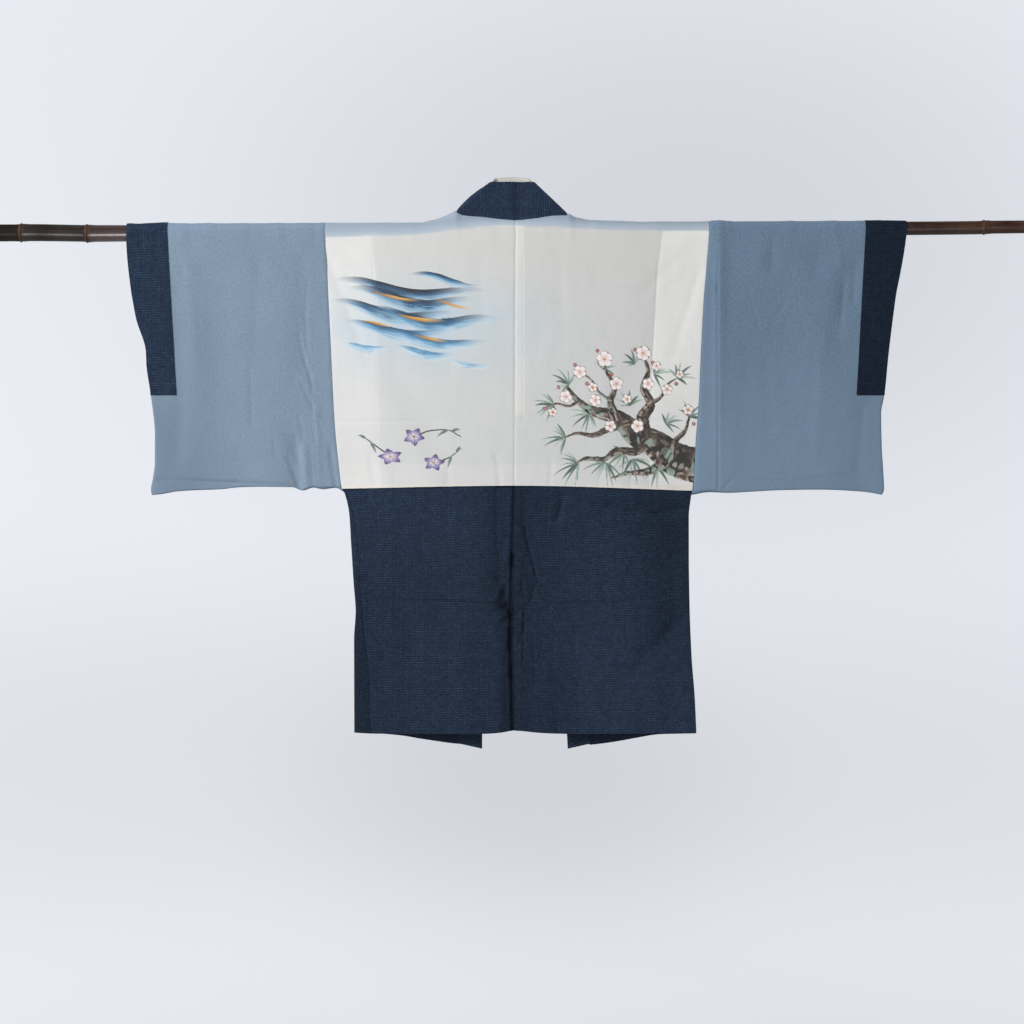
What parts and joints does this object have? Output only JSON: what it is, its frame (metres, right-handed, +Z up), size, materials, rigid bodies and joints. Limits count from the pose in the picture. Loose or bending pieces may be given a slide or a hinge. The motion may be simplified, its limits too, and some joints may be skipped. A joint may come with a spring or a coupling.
{
  "type": "haori jacket on a bamboo pole",
  "caption": "Lined haori jacket with straight bag sleeves, hung flat and lining side out on a bamboo pole that runs through its sleeves.",
  "frame": {"origin": "on the pole's axis under the middle of the garment's neck, where the pole holds the garment", "axes": "+X along the pole to the right as seen from the garment's back, +Y from the garment's back to its fronts, +Z up"},
  "size_m": [1.81, 0.0344, 0.9725],
  "materials": {
    "bamboo": "dark brown lacquered bamboo, glossy",
    "picture_lining": "off-white smooth lining silk, dyed with a picture",
    "sleeve_lining": "plain blue-grey lining silk",
    "shell_cloth": "dark navy woven cloth with a fine check",
    "core_cloth": "cream cotton strip"
  },
  "bodies": {
    "root": {"pole": "bamboo", "lining_left": "picture_lining", "lining_right": "picture_lining", "back_left": "shell_cloth", "back_right": "shell_cloth", "front_left": "shell_cloth", "front_right": "shell_cloth", "gusset_left": "shell_cloth", "gusset_right": "shell_cloth", "sleeve_left": "sleeve_lining", "sleeve_right": "sleeve_lining", "cuff_left": "shell_cloth", "cuff_right": "shell_cloth", "collar": "shell_cloth", "collar_core": "core_cloth"}
  },
  "joints": []
}
